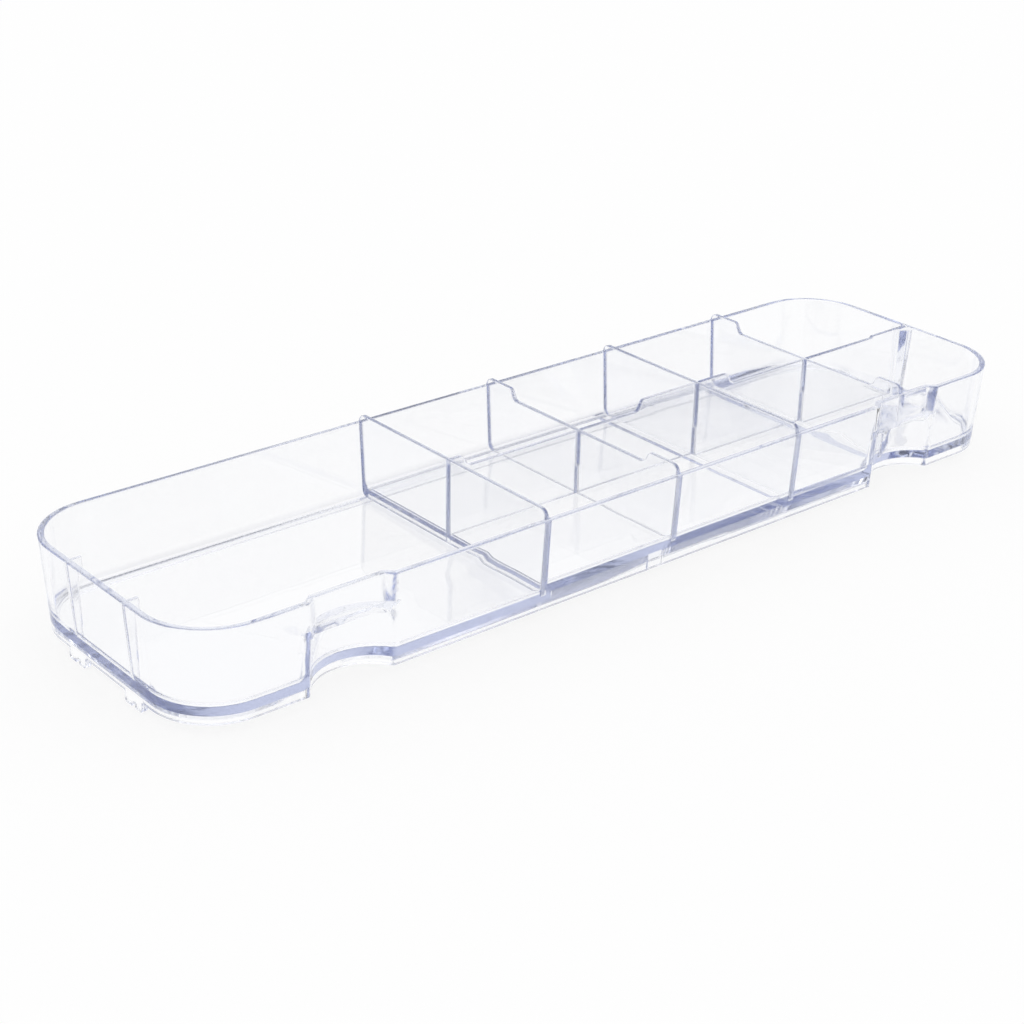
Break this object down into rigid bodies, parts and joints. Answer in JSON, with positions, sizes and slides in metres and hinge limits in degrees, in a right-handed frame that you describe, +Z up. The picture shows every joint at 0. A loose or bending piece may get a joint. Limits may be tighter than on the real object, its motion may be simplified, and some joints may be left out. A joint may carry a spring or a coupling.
{
  "type": "divided organizer tray",
  "caption": "Long shallow clear tray with rounded corners, finger recesses and stacking tabs, parted into small compartments by lift-out dividers.",
  "frame": {"origin": "bottom centre of the bounding box, on the plane of the stacking tabs", "axes": "+X along the length, from the long open compartment to the divided end; +Y from the front wall with the finger recesses to the back wall; +Z up"},
  "size_m": [0.34, 0.0964, 0.0367],
  "materials": {
    "clear_plastic": "polished clear polystyrene with a faint blue-violet tint in its edges"
  },
  "bodies": {
    "tray": {"tray": "clear_plastic"},
    "long_divider": {"long_divider": "clear_plastic"},
    "cross_divider_1": {"cross_divider_1": "clear_plastic"},
    "cross_divider_2": {"cross_divider_2": "clear_plastic"},
    "cross_divider_3": {"cross_divider_3": "clear_plastic"},
    "cross_divider_4": {"cross_divider_4": "clear_plastic"}
  },
  "joints": [
    {"name": "long_divider_lift", "type": "slide", "parent": "tray", "child": "long_divider", "axis": [0, 0, 1], "range_m": [0, 0.03]},
    {"name": "cross_divider_1_lift", "type": "slide", "parent": "tray", "child": "cross_divider_1", "axis": [0, 0, 1], "range_m": [0, 0.03]},
    {"name": "cross_divider_2_lift", "type": "slide", "parent": "long_divider", "child": "cross_divider_2", "axis": [0, 0, 1], "range_m": [0, 0.03]},
    {"name": "cross_divider_3_lift", "type": "slide", "parent": "long_divider", "child": "cross_divider_3", "axis": [0, 0, 1], "range_m": [0, 0.03]},
    {"name": "cross_divider_4_lift", "type": "slide", "parent": "long_divider", "child": "cross_divider_4", "axis": [0, 0, 1], "range_m": [0, 0.03]}
  ]
}
